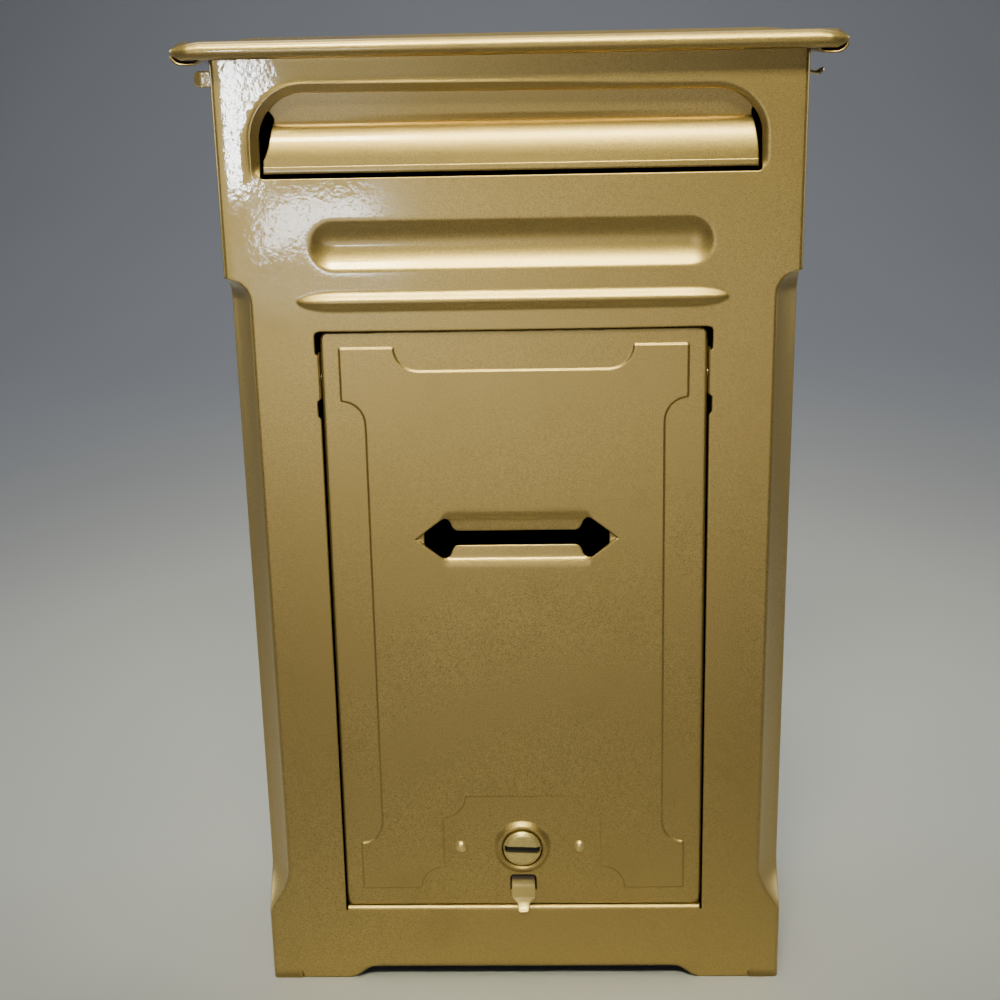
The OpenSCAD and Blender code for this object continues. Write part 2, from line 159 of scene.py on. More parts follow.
def thick(ob, t, offset=-1.0, rim_bevel=0.0):
    """Gives a sheet its thickness."""
    m = ob.modifiers.new("thickness", "SOLIDIFY")
    m.thickness = t * MM
    m.offset = offset
    m.use_even_offset = False
    if rim_bevel:
        b = ob.modifiers.new("edge", "BEVEL")
        b.width = rim_bevel * MM
        b.segments = 2
        b.limit_method = "ANGLE"
        b.angle_limit = math.radians(50)
        b.harden_normals = False
    return ob


def weld(ob, dist=0.02):
    """Merges points that lie together."""
    import bmesh
    bm = bmesh.new()
    bm.from_mesh(ob.data)
    bmesh.ops.remove_doubles(bm, verts=bm.verts, dist=dist * MM)
    bmesh.ops.recalc_face_normals(bm, faces=bm.faces)
    bm.to_mesh(ob.data)
    bm.free()
    ob.data.update()
    return ob


def ring_points(outline, dists):
    """Points that follow a closed outline outside it, at several distances."""
    d = np.roll(outline, -1, 0) - np.roll(outline, 1, 0)
    n = np.stack([d[:, 1], -d[:, 0]], 1)
    n /= np.maximum(np.linalg.norm(n, axis=1, keepdims=True), 1e-9)
    area = np.sum(outline[:, 0] * np.roll(outline[:, 1],
                                          -1) - outline[:, 1] * np.roll(outline[:, 0], -1))
    n *= 1 if area > 0 else -1
    return np.concatenate([outline + n * k for k in dists])


def edge_roll(d, r):
    """How far a sheet falls back within r of a cut edge."""
    k = np.clip(1 - d / r, 0, 1)
    return r * (1 - np.sqrt(np.maximum(1 - k * k, 0)))


def bar_distance(x, z, half_l, cz, r):
    """Distance from the middle line of a round-ended bar along X, over its radius."""
    dx = np.maximum(np.abs(x) - (half_l - r), 0)
    return np.hypot(dx, z - cz) / r


def roll_over(d, start, r):
    """Bend a sheet coordinate past start back round radius r; gives coordinate and depth."""
    a = np.clip((d - start) / r, 0, math.pi / 2)
    over = np.maximum(d - start - r * math.pi / 2, 0)
    flat = np.minimum(d, start) + r * np.sin(a)
    return flat, r * (1 - np.cos(a)) + over


# ---------------------------------------------------------------- body shell
SEAM = 12.8
FOLD_Z, FOLD_R = 33.6, 2.2


def foot_line(x):
    """Height of the lower edge of the front at x."""
    return 5.6 * smooth((77.8 - np.abs(x)) / 10.8)


def slot_outline(g=0.0, step=1.0):
    h, r = SLOT["half"] + g, SLOT["r"] + g
    top = SLOT["z1"] + g
    pts = np.concatenate([
        arc(-h + 1.2, SLOT["z0"] + 1.2, 1.2, 270, 180, 5)[:, :],
        arc(-h + r, top - r, r, 180, 90, 26),
        arc(h - r, top - r, r, 90, 0, 26),
        arc(h - 1.2, SLOT["z0"] + 1.2, 1.2, 0, -90, 5)])
    pts[:, 1] -= 1.3 * smooth((pts[:, 0] + 30) / 110) * smooth((pts[:, 1] - 362) / 20)
    return closed(pts, step)


def door_hole(step=1.0):
    top = [(x, 293.2 - 0.25 * (1 - (x / 79.6) ** 2)) for x in np.linspace(-77.4, 77.4, 41)]
    left = [(-78.5, FOLD_Z + 0.1), (-78.5, 257.2), (-79.6, 258.6), (-79.6, 264.6), (-78.5, 265.6),
            (-78.5, 283.4),
            (-79.7, 284.4), (-79.7, 291.8), (-79.0, 292.8)]
    right = [(-x, z) for x, z in left[::-1]]
    tab = FOLD_Z + 10.2
    low = [(77.6, FOLD_Z + 0.1), (77.6, tab), (-77.6, tab), (-77.6, FOLD_Z + 0.1)]
    return closed(left + top + right + low, step)


def front_height(x, z, slot_line, door_line):
    """How far the front sheet stands out from its plane at (x, z)."""
    p = np.stack([x, z], 1)
    r = bar_distance(x, z, 79.5, 327.3, 9.4)
    trough = 1 - r * r
    h = -1.55 * (trough + np.sqrt(trough * trough + 0.012)) * 0.985
    end = np.clip((np.abs(x) - 70) / 15.5, 0, 1)
    b = np.abs(z - 305.2) / (4.3 * np.sqrt(np.maximum(1 - end * end, 1e-3)))
    h += 1.9 * (1 - smooth(b)) * np.sqrt(np.maximum(1 - end ** 2, 0))
    d = near(p, slot_line)
    side = smooth((z - SLOT["z0"] - 0.5) / 5.0)
    k = np.clip(1 - d / SLOT["lip"], 0, 1)
    rounded = smooth((x + 40) / 100)
    h -= side * (1 - rounded) * 2.5 * (k - 0.13 * (1 - np.exp(-k / 0.13)) / (1
        - math.exp(-1 / 0.13)))
    h -= side * rounded * 2.0 * k ** 2.2
    h += side * (0.28 - 0.27 * rounded) * np.exp(-((d - SLOT["lip"] - 0.1) / 0.75) ** 2)
    h -= edge_roll(d, 0.45)
    dd = near(p, door_line)
    h -= edge_roll(dd, 0.5) * (z > FOLD_Z - 1)
    foot = np.abs(z - foot_line(x))
    h -= edge_roll(foot, 0.45) * (z < 12)
    rim = smooth((half_at(z) - SEAM - np.abs(x)) / 22) * smooth((z - 10) / 40)
    h += 0.12 * np.sin(x / 31 + 1.3) * np.sin(z / 37 + 0.4) * rim
    return h


def corner_path(z):
    """Points round the right corner at height z, from the front seam to the back edge: (x, y)."""
    w = half_at(z)
    up = math.sqrt(max(0.0,
                       1 - max(0.0, 1
                               - (CHAMFER[1] - 2 - z) / 10.0) ** 2)) if z < CHAMFER[1] - 2 else 0.0
    t = (z - CHAMFER[0]) / 21.0
    low = 0.0 if t <= 0 else (math.sin(min(t, 1.0) * math.pi / 2) ** 1.3)
    c = min(up, low) if z < 200 else up
    c = max(c, 0.0)
    r = 2.0
    cx, cy = 9.2 * c, 14.0 * c
    bx, by = w - r - cx, FRONT + r
    ex, ey = w - r, FRONT + r + cy
    turn = math.atan2(14.0, 9.2) if c > 0 else math.pi / 4
    pts = [(w - SEAM + (bx - w + SEAM) * i / 4, FRONT) for i in range(4)]
    pts += [(bx + r * math.sin(a), by - r * math.cos(a)) for a in np.linspace(0, turn, 9)]
    hollow = 0.75 * c
    n = np.array([math.sin(turn), -math.cos(turn)])
    p0 = np.array([bx, by]) + r * n
    p1 = np.array([ex, ey]) + r * n
    for i in range(1, 10):
        s = i / 10
        pts.append(tuple(p0 + (p1 - p0) * s - n * hollow * math.sin(math.pi * s) ** 0.6))
    pts += [(ex + r * math.sin(a), ey - r * math.cos(a)) for a in np.linspace(turn, math.pi / 2, 7)]
    pts += [(w, ey + 0.9 * i) for i in range(1, 13)]
    y0 = ey + 0.9 * 12
    pts += [(w, y0 + (BACK - 1.0 - y0) * (i / 10)) for i in range(1, 11)]
    return pts


def body_shell(material):
    """The front and both sides as one bent and pressed sheet."""
    rows = ticks(0, WALL_TOP, 5.0, 0.9, [33, 40, 48, 308, 315, AXIS_FLAP.z], 9)
    slot_line, door_line = slot_outline(), door_hole()
    bottom = np.linspace(-half_at(0) + SEAM, half_at(0) - SEAM, 140)
    outer = [(x, foot_line(np.array(x))) for x in bottom]
    outer += [(half_at(z) - SEAM, z) for z in rows[1:]]
    outer += [(x, WALL_TOP) for x in np.linspace(half_at(WALL_TOP) - SEAM,
        -half_at(WALL_TOP) + SEAM, 60)[1:-1]]
    outer += [(-half_at(z) + SEAM, z) for z in rows[:0:-1]]
    outer = np.array(outer, float)
    xs = ticks(-100, 100, 3.0, 0.8, [-86, -79, -72, 72, 79, 86, 95, -95], 4)
    zs = ticks(0, WALL_TOP, 3.0, 0.7, [2, 301, 305, 309, 319, 324, 331, 336, 355], 4)
    zs = np.unique(np.concatenate([zs, FOLD_Z + np.linspace(0, FOLD_R * math.pi / 2, 9),
                                   [FOLD_Z - 0.4]]))
    extra = np.concatenate([ring_points(slot_line, [0.12, 0.3, 0.5, 0.9, 1.5, 2.1, 2.5, 2.8, 3.05,
        3.25, 3.45, 3.7, 4.0, 4.5, 5.2]),
                            ring_points(door_line, [0.12, 0.3, 0.55, 1.0])])
    gx, gz = np.meshgrid(xs, zs)
    pts, faces = sheet_with_points(outer, [slot_line, door_line],
                                   np.stack([gx.ravel(), gz.ravel()], 1), extra)
    x, z = pts[:, 0].copy(), pts[:, 1].copy()
    h = front_height(x, z, slot_line, door_line)
    y = FRONT - h
    fold = (np.abs(x) < 78.2) & (z > FOLD_Z) & (z < 46)
    zf, yf = roll_over(z, FOLD_Z, FOLD_R)
    y = np.where(fold, FRONT + yf, y)
    z = np.where(fold, zf, z)
    verts = [np.stack([x, y, z], 1)]
    tris = [tuple(f) for f in faces]
    at = len(x)
    for s in (1, -1):
        grid = []
        for row in rows:
            path = corner_path(row)
            for px, py in path:
                gap = 5.6 * smooth(np.array((min(py - FRONT, BACK - py) - 34) / 11))
                zz = max(row,
                         gap + (row * (8 - gap) / 8 if row < 8 else row - gap)) if row < 8 else row
                grid.append((s * px, py, zz))
        grid = np.array(grid)
        quads = grid_faces(len(rows), len(corner_path(100.0)), flip=s < 0)
        grid, quads = punched(grid, quads, AXIS_FLAP.y, AXIS_FLAP.z, 3.5)
        verts.append(grid)
        tris += [tuple(k + at for k in q) for q in quads]
        at += len(grid)
    ob = mesh_object("body_shell", np.concatenate(verts), tris, "shell", material)
    weld(ob, 0.03)
    thick(ob, SHEET)
    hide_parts("body_front", "body_side_left", "body_side_right")
    return ob


def punched(grid, quads, cy, cz, r):
    """A round hole in the side part of a sheet grid."""
    d = np.hypot(grid[:, 1] - cy, grid[:, 2] - cz)
    side = np.abs(grid[:, 0]) > HALF_FOOT
    gone = side & (d < r - 0.25)
    kept = [q for q in quads if not any(gone[k] for k in q)]
    rim = {k for q in quads if any(gone[k] for k in q) for k in q if not gone[k]}
    for k in rim:
        f = r / max(d[k], 1e-6)
        grid[k, 1] = cy + (grid[k, 1] - cy) * f
        grid[k, 2] = cz + (grid[k, 2] - cz) * f
    return grid, kept


def sheet_with_points(outer, holes, grid, extra):
    """Triangulates a flat sheet outline and its holes, through grid points and rings of extra
    points along the edges.
    """
    lo, hi = outer.min(0), outer.max(0)
    grid = grid[np.all((grid > lo) & (grid < hi), axis=1)]
    grid = grid[inside(grid, outer) & (near(grid, outer) > 0.6)]
    for h in holes:
        box = np.all((grid > h.min(0) - 3) & (grid < h.max(0) + 3), axis=1)
        part = grid[box]
        bad = inside(part, h) | (near(part, h) < 1.2)
        grid = np.concatenate([grid[~box], part[~bad]])
    extra = extra[inside(extra, outer) & (near(extra, outer) > 0.3)]
    for i, h in enumerate(holes):
        extra = extra[~inside(extra, h)]
        extra = extra[near(extra, h) > 0.08]
    loops = [outer, *holes]
    verts = np.concatenate([*loops, extra, grid])
    edges, at = [], 0
    for lp in loops:
        edges += [(at + i, at + (i + 1) % len(lp)) for i in range(len(lp))]
        at += len(lp)
    got = delaunay_2d_cdt([Vector(v) for v in verts], edges, [], 0, 1e-6)
    pts = np.array([tuple(v) for v in got[0]])
    faces = np.array([f for f in got[2] if len(f) == 3])
    a, b, c = (pts[faces[:, i]] for i in range(3))
    area = np.abs((b[:, 0] - a[:, 0]) * (c[:, 1] - a[:, 1]) - (b[:, 1] - a[:, 1])
                  * (c[:, 0] - a[:, 0]))
    long_side = np.maximum.reduce([np.linalg.norm(u - v, axis=1) for u,
                                   v in ((a, b), (b, c), (c, a))])
    keep = area / long_side > 0.012
    mid = pts[faces].mean(1)
    keep &= inside(mid, outer)
    for h in holes:
        keep &= ~inside(mid, h)
    return pts, faces[keep]


# ---------------------------------------------------------------- door
def lens_outline(step=0.6):
    """Cut edge of the viewing slot with an arrow head at each end."""
    quarter = [(0.0, 3.1), (24.4, 3.1), (25.6, 3.5), (26.5, 4.4), (27.0, 5.4), (27.6, 7.0),
               (28.4, 8.0), (29.6, 8.5),
               (30.8, 8.35), (31.9, 7.7), (38.0, 2.9), (38.35, 2.3)]
    up = quarter[1:]
    right = up + [(x, -z) for x, z in up[::-1]]
    left = [(-x, z) for x, z in right[::-1]]
    pts = np.array(right + left, float)
    pts[:, 1] += LENS_Z
    return closed(pts[::-1], step)


def lens_field():
    return np.array([(-42.3, 0), (-30.6, 8.9), (30.6, 8.9), (42.3, 0), (30.6, -8.9), (-30.6, -8.9)],
                    float) + [0, LENS_Z]


def window_outline():
    """Cut edge of the window below the lock."""
    pts = np.concatenate([[(-5.4, 43.4)], arc(-3.6, 48.7, 1.8, 180, 90, 9),
                          arc(4.1, 48.7, 1.8, 90, 0, 9), [(5.9, 43.4)]])
    return closed(pts, 0.7)


def field_outline():
    """Edge of the raised field of the door, counter-clockwise from the lower left."""
    x, side, top, low = 70.3, 60.8, 286.0, 44.5
    right = [(0, 88.4), (24.2, 88.4)] + [tuple(p) for p in arc(34.3, 88.4, 9.9, 182, 266, 12)]
    right += [(34.3, 77.9), (34.3, 54.5)]
    right += [tuple(p) for p in arc(34.8, 44.9, 9.8, 86, 2, 12)]
    right += [(44.8, low), (x, low), (x, 66.0)]
    right += [tuple(p) for p in arc(x + 0.3, 76.2, 9.7, 266, 184, 12)]
    right += [(side, 76.8), (side, 252.6)]
    right += [tuple(p) for p in arc(x + 0.4, 254.6, 9.8, 176, 94, 12)]
    right += [(x, 264.7), (x, top), (48.4, top)]
    right += [tuple(p) for p in arc(38.6, top + 0.2, 9.9, -4, -86, 12)]
    right += [(39.0, 276.2), (0, 276.2)]
    left = [(-a, b) for a, b in right[::-1]]
    return closed(np.array(right + left[1:-1], float), 0.9)


def door_height(x, z, field):
    """How far the door skin stands out from its plane at (x, z)."""
    p = np.stack([x, z], 1)
    d = signed(p, field)
    h = 0.62 * smooth(0.5 - d / 0.9)
    hexa = lens_field()
    e = signed(p, hexa)
    straight = smooth((31.5 - np.abs(x)) / 3.5)
    out = np.clip(1 - e / 3.4, 0, 1)
    e_in = np.minimum(e, 0)
    depth = 0.85 * out ** 2 * straight
    depth = np.where(e < 0,
                     0.85 * straight + 0.42 * (1 - np.exp(e_in / 0.4)) + 0.055 * -e_in
                     + (1 - straight) * 0.5 * smooth(-e_in / 0.5), depth)
    h -= depth
    r = np.hypot(x, z - LOCK_Z)
    bump = np.clip((12.4 - r) / 3.6, 0, 1)
    h += 1.9 * np.sin(np.clip(bump, 0, 0.72) / 0.72 * math.pi / 2) ** 1.2 * (r < 12.4)
    h -= 0.7 * smooth((9.8 - r) / 1.1)
    h += 0.12 * np.sin(x / 40 + 0.8) * np.sin((z - 38) / 253
                                              * math.pi) * smooth((77 - np.abs(x)) / 12)
    return h


def door_skin(material):
    """The pressed door sheet with its folded sides."""
    half, z0, z1 = DOOR["half"], DOOR["z0"], DOOR["z1"]
    r = 1.3
    unfolded = half - r + r * math.pi / 2 + 9.3
    e = half - 0.2
    outer = closed([(-unfolded, z0 + 4), (-e, z0 + 4), (-e, z0 + 1.4), (-half + 1.6, z0),
                    (half - 1.6, z0), (e, z0 + 1.4),
                    (e, z0 + 4), (unfolded, z0 + 4), (unfolded, z1 - 5), (e, z1 - 5), (e, z1 - 2.4),
                    (e - 0.5, z1 - 1.2),
                    (e - 1.4, z1 - 0.3), (e - 2.6, z1), (-e + 2.6, z1), (-e + 1.4, z1 - 0.3),
                    (-e + 0.5, z1 - 1.2),
                    (-e, z1 - 2.4), (-e, z1 - 5), (-unfolded, z1 - 5)], 1.2)
    lens, window = lens_outline(), window_outline()
    ring = closed(arc(0, LOCK_Z, 8.75, 0, 360, 65)[:-1], 5)
    holes = [lens, window, ring]
    field = field_outline()
    bend = [half - r + r * a for a in np.linspace(0, math.pi / 2, 7)]
    xs = np.unique(np.concatenate([ticks(-half + 2, half - 2, 3.2, 0.75,
                                         [-70.3, -60.8, 60.8, 70.3, -34, 34, 0], 2.6),
                                   bend, [-b for b in bend],
                                   [half + 3, -half - 3, half + 6, -half - 6]]))
    zs = ticks(z0, z1, 3.2, 0.75, [44.5, 54.4, 88.4, 196.5, 214, 276.2, 286], 2.6)
    gx, gz = np.meshgrid(xs, zs)
    grid = np.stack([gx.ravel(), gz.ravel()], 1)
    rings = [arc(0, LOCK_Z, k, 0, 360, 61)[:-1] for k in np.arange(9.1, 13.2, 0.45)]
    around = [ring_points(field, [-1.2, -0.75, -0.45, -0.22, 0, 0.22, 0.45, 0.75, 1.2])]
    hexa = closed(lens_field(), 0.8)
    around += [ring_points(hexa, [-1.6, -0.9, -0.5, -0.25, 0.0, 0.25, 0.7, 1.4, 2.2, 3.0]),
               ring_points(lens, [0.2, 0.5])]
    extra = np.concatenate([*rings, *around, ring_points(window, [0.2, 0.5])])
    extra = extra[(np.abs(extra[:, 0]) < half - 1.5) & (extra[:, 1] > z0 + 1) & (extra[:, 1] < z1
        - 1)]
    seams = [(x, z) for z in (z0 + 0.4, z0 + 1.2, z1 - 1.2,
                              z1 - 0.4) for x in np.arange(-half + 3.2, half - 3, 1.2)]
    extra = np.concatenate([extra, seams])
    grid = grid[(near(grid, field) > 1.5) | (np.abs(grid[:, 0]) > half - 2)]
    grid = grid[np.hypot(grid[:, 0], grid[:, 1] - LOCK_Z) > 13.4]
    pts, faces = sheet_with_points(outer, holes, grid, extra)
    x, z = pts[:, 0], pts[:, 1]
    h = door_height(x, z, field)
    h -= edge_roll(np.minimum(z - z0, z1 - z), 0.15) * (np.abs(x) < half)
    h -= edge_roll(near(pts, lens), 0.35) + edge_roll(near(pts, window), 0.35)
    flat, depth = roll_over(np.abs(x), half - r, r)
    lean = -0.5 + 1.5 * (z - z0) / (z1 - z0)
    verts = np.stack([np.sign(x) * flat, DOOR["y"] + lean - h + depth, z], 1)
    ob = mesh_object("door_skin", verts, faces, "door", material)
    weld(ob, 0.01)
    thick(ob, SHEET)
    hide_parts("door_panel")
    return ob


# ---------------------------------------------------------------- flap
def flap_path():
    """Middle line of the flap section as (y, z), top to hem."""
    f = FRONT
    pts = [(f + 6.8, 391.0), (f + 6.8, 389.3), (f + 7.2, 387.6)]
    pts += [(f + 7.2 + 1.9 * t ** 1.1, 387.6 - 13.1 * t) for t in np.linspace(0.12, 1, 12)]
    top, low = 374.1, 356.5
    pts += [(f + 9.18, 374.3), (f + 9.2, 374.0)]
    a = np.radians(np.linspace(9, 86.5, 28))
    pts += [(f + 9.9 - 8.3 * math.sin(t), low + (top - low) * math.cos(t) ** 0.93) for t in a]
    pts += [(f + 1.55, low + 0.8), (f + 1.5, low + 0.4)]
    pts += [(f + 0.95 + 0.55 * math.cos(t), low - 0.55 * math.sin(t)) for t in np.linspace(0,
        math.pi, 9)]
    pts += [(f + 0.4, low + k) for k in (0.4, 0.8, 1.2, 1.6, 2.0)]
    return np.array(pts)


def flap_half(z, s):
    """Half width of the flap at height z, on the left (s = -1) or the right (s = 1)."""
    half = np.interp(z, [356, 361, 365, 369, 373, 376.5, 379.5, 384, 391],
                     [96.4, 96.3, 96.0, 95.4, 94.6, 94.2, 95.6, 96.5, 96.5])
    return half - (0.9 - 0.9 * s) * smooth((z - 358) / 9) * (1 - smooth((z - 378) / 3))


def flap_piece(material):
    """The folded slot flap with its bent ears."""
    path = flap_path()
    us = np.unique(np.concatenate([np.linspace(-1, 1, 61), [-0.995, -0.985, 0.985, 0.995]]))
    verts = []
    for y, z in path:
        half = np.where(us < 0, flap_half(z, -1), flap_half(z,
            1)) if z > 361 or y > FRONT + 5 else 96.3
        sag = 0.35 * np.exp(-((us - 0.1) / 0.5) ** 2) * np.clip((z - 356) / 4, 0, 1) * (z < 376)
        verts += [(x, y + s, z) for x, s in zip(half * us, sag)]
    faces = grid_faces(len(path), len(us))
    ob = mesh_object("slot_flap", verts, faces, "flap", material)
    thick(ob, 0.8, offset=0)
    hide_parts("flap_panel")
    for s, last in ((-1, 122.2), (1, 121.2)):
        xs = np.concatenate([np.linspace(84, 100, 5), np.linspace(101, 113, 13),
                             np.linspace(114, last - 2.4, 8),
                             last - 2.4 + 2.4 * np.sin(np.linspace(0.2, math.pi / 2, 8))])
        rows = []
        for x in xs:
            end = np.clip((x - last + 2.4) / 2.4, 0, 1)
            h = 3.1 * math.sqrt(max(0.0, 1 - (0.86 * end) ** 2.6))
            turn = math.pi / 2 * float(smooth((x - 100.5) / 11)) if s > 0 else 0.0
            droop = 0.0 if s < 0 else 2.4 * float(smooth((x - 109) / 10))
            hook = 0.0 if s < 0 else droop - 1.6 * float(smooth((x - last + 2.4) / 2.2))
            bow = 0.5 * end if s < 0 else 0.0
            for v in np.linspace(-1, 1, 9):
                dy, dz = math.sin(turn) * v * h, math.cos(turn) * v * h
                rows.append((s * x, AXIS_FLAP.y + dy - bow,
                             AXIS_FLAP.z + dz - hook * (1 if v < 0 else 0.75)))
        ear = mesh_object("flap_ear_left" if s < 0 else "flap_ear_right", rows,
                          grid_faces(len(xs), 9), "flap", material)
        thick(ear, 0.9, offset=0, rim_bevel=0.18)
    return ob


# ---------------------------------------------------------------- roof
def roof_piece(material):
    """The roof sheet: raised field, rounded front rim and open side curls."""
    top, r_curl, r_rim = WALL_TOP + 1.0, 4.4, 3.5
    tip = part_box("roof_sheet")[1].x * 1000
    x_out, z_curl, y_rim = tip - r_curl, WALL_TOP + 1.0 - r_curl, FRONT - 8.0
    x_in = x_out - 3.8
    xs = np.unique(np.concatenate([np.linspace(-112, 112, 77), np.linspace(-x_out, -112, 12),
                                   np.linspace(112, x_out, 12)]))
    ys = np.unique(np.concatenate([np.linspace(y_rim, y_rim + 14, 15),
                                   np.linspace(y_rim + 14, BACK - 0.5, 26)]))

    def rim_top(x):
        return top - r_rim + r_rim * np.clip((tip - np.abs(x)) / 11, 0, 1) ** 0.42

    curl = [(x_out + r_curl * math.cos(a), r_curl * math.sin(a)) for a in np.radians(np.linspace(84,
        -90, 28))]
    curl += [(x_in + (x_out - x_in) * k, -r_curl - 0.12 * math.sin(math.pi * k)) for k in (0.75,
        0.5, 0.25)]
    curl += [(x_in + r_curl * math.cos(a),
              r_curl * math.sin(a)) for a in np.radians(np.linspace(-90, -196, 16))]
    verts = []
    for y in ys:
        near_front = 1 - float(smooth(np.array((y - y_rim) / 7.0)))

        def drop(x, z=9.0):
            return (top - rim_top(min(x,
                                      tip - 0.3))) * near_front * float(smooth(np.array((z
                                          + 2.5) / 5.5)))
        side = [(x, z_curl + z - drop(x, z)) for x, z in curl]
        row = [(-x, y, z) for x, z in side[::-1]]
        for x in xs:
            edge = min(108 - abs(x), y - (FRONT - 1.0), BACK - 8 - y)
            lift = 0.95 * float(smooth(np.array(edge / 9.0))) if edge > 0 else 0.0
            row.append((x, y, top + lift - drop(abs(x))))
        row += [(x, y, z) for x, z in side]
        verts += row
    cols = len(xs) + 2 * len(curl)
    faces = grid_faces(len(ys), cols)
    at = len(verts)
    ends = tip - 10.8 * np.linspace(1, 0, 26) ** 2.2
    sx = np.unique(np.concatenate([-ends, np.linspace(-117, 117, 81), ends]))
    rim = []
    ang = np.radians(np.linspace(90, 270, 21))
    for x in sx:
        u = max(tip - abs(x), 0.0)
        rt = r_rim * min(1.0, u / 11) ** 0.42
        rb = r_rim * min(1.0, u / 4.6) ** 0.5
        ry = r_rim * min(1.0, u / 7) ** 0.5
        zc = top - r_rim
        for a in ang:
            rim.append((x, y_rim + ry * math.cos(a),
                        zc + (rt if math.sin(a) > 0 else rb) * math.sin(a)))
        for k in (1.5, 3.0, 4.5, 5.7):
            rim.append((x, y_rim + k * min(1.0, u / 5), zc - rb))
    faces += [tuple(k + at for k in q) for q in grid_faces(len(sx), len(ang) + 4, flip=True)]
    ob = mesh_object("roof_skin", verts + rim, faces, "shell", material)
    weld(ob, 0.02)
    thick(ob, SHEET)
    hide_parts("roof_sheet")
    return ob


# ---------------------------------------------------------------- lock
def lock_head(material, painted_slot_shade):
    """The turning barrel: bevelled face with a coin slot, collar and square end."""
    cx, cz, y_face = 0.0, LOCK_Z, FRONT - 2.0
    tilt = math.radians(-2.0)
    slot = np.array([(-7.6, -1.4), (7.6, -1.4), (7.6, 1.4), (-7.6, 1.4)], float)
    turn = np.array([[math.cos(tilt), -math.sin(tilt)], [math.sin(tilt), math.cos(tilt)]])
    slot = closed(slot @ turn.T, 0.5)
    outer = arc(0, 0, 12.4, 0, 360, 97)[:-1]
    rings = [arc(0, 0, r, 0, 360, n + 1)[:-1] for r, n in
             ((1.5, 10), (3, 18), (4.5, 26), (5.8, 36), (6.5, 60), (6.75, 72), (7.2, 72), (7.7, 72),
              (7.95, 84), (8.1, 84),
              (8.25, 84), (8.4, 84), (8.6, 84), (10.5, 84))]
    extra = np.concatenate(rings + [ring_points(slot, [-0.3, -0.12, 0.04, 0.16, 0.35])])
    extra = extra[np.hypot(extra[:, 0], extra[:, 1]) < 12.2]
    pts, faces = sheet_with_points(outer, [], np.zeros((0, 2)), extra)
    x, z = pts[:, 0], pts[:, 1]
    r = np.hypot(x, z)
    d = signed(pts, slot)
    h = -0.95 * np.clip((r - 6.4) / 1.5, 0, 1.2)
    h += 0.07 * np.exp(-((d - 0.3) / 0.25) ** 2)
    h -= 1.9 * smooth(0.5 - (d - 0.02) / 0.22) * (r < 8.05)
    flat, back = roll_over(r, 7.85, 0.4)
    k = np.where(r > 1e-6, flat / np.maximum(r, 1e-6), 1)
    verts = np.stack([cx + x * k, y_face - h + back, cz + z * k], 1)
    tris = [tuple(f) for f in faces]
    body = [(8.2, 3.6), (8.2, 6.1), (9.6, 6.2), (10.0, 6.5), (10.0, 7.2), (9.6, 7.5), (8.2, 7.5),
            (8.2, 12.7), (7.8, 13.0),
            (4.4, 13.0)]
    a = np.linspace(0, 2 * math.pi, 72, endpoint=False)
    at = len(verts)
    turned = [(cx + q * math.cos(t), y_face + e, cz + q * math.sin(t)) for q, e in body for t in a]
    tris += [tuple(i + at for i in q) for q in grid_faces(len(body), 72, wrap=True, flip=True)]
    at += len(turned)
    square = []
    for e, s in ((13.0, 3.5), (15.6, 3.5), (15.8, 3.3)):
        square += [(s * u, y_face + e, cz + s * v) for u, v in
                   ((-1, -0.9), (-0.9, -1), (0.9, -1), (1, -0.9), (1, 0.9), (0.9, 1), (-0.9, 1),
                    (-1, 0.9))]
    tris += [tuple(i + at for i in q) for q in grid_faces(3, 8, wrap=True, flip=True)]
    tris.append(tuple(at + 16 + i for i in range(8)))
    ob = mesh_object("lock_head", np.concatenate([verts, turned, square]), tris, "lock", material)
    # The coin slot's faces get a near-black matte: painted shade in the slot.
    ob.data.materials.append(painted_slot_shade)
    for f in ob.data.polygons:
        if (f.index < len(faces) and np.mean(d[faces[f.index]]) < 0.02
                and np.max(r[faces[f.index]]) < 8.0):
            f.material_index = 1
    b = ob.modifiers.new("edge_split", "EDGE_SPLIT")
    b.split_angle = math.radians(42)
    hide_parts("lock_barrel")
    return ob


def rivet_heads(material):
    """Two domed rivets that hold the lock plate."""
    verts, faces = [], []
    profile = [(0.02, -1.75), (0.85, -1.68), (1.55, -1.42), (2.15, -0.98), (2.55, -0.45),
               (2.72, 0.0), (2.7, 0.3), (1.6, 0.4),
               (1.6, 4.6), (2.8, 4.7), (2.8, 5.2), (2.4, 5.6), (0.02, 5.65)]
    a = np.linspace(0, 2 * math.pi, 36, endpoint=False)
    for s in (-1, 1):
        at = len(verts)
        verts += [(s * RIVET_X - RIVET_OFF + r * math.cos(t), DOOR["y"] - 0.25 + d,
                   LOCK_Z + 0.1 + r * math.sin(t) * (1.1 if d < 0.35 else 1))
                  for r, d in profile for t in a]
        faces += [tuple(i + at for i in q) for q in grid_faces(len(profile), 36, wrap=True)]
    ob = mesh_object("rivet_heads", verts, faces, "door", material)
    weld(ob, 0.05)
    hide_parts("lock_rivets")
    return ob


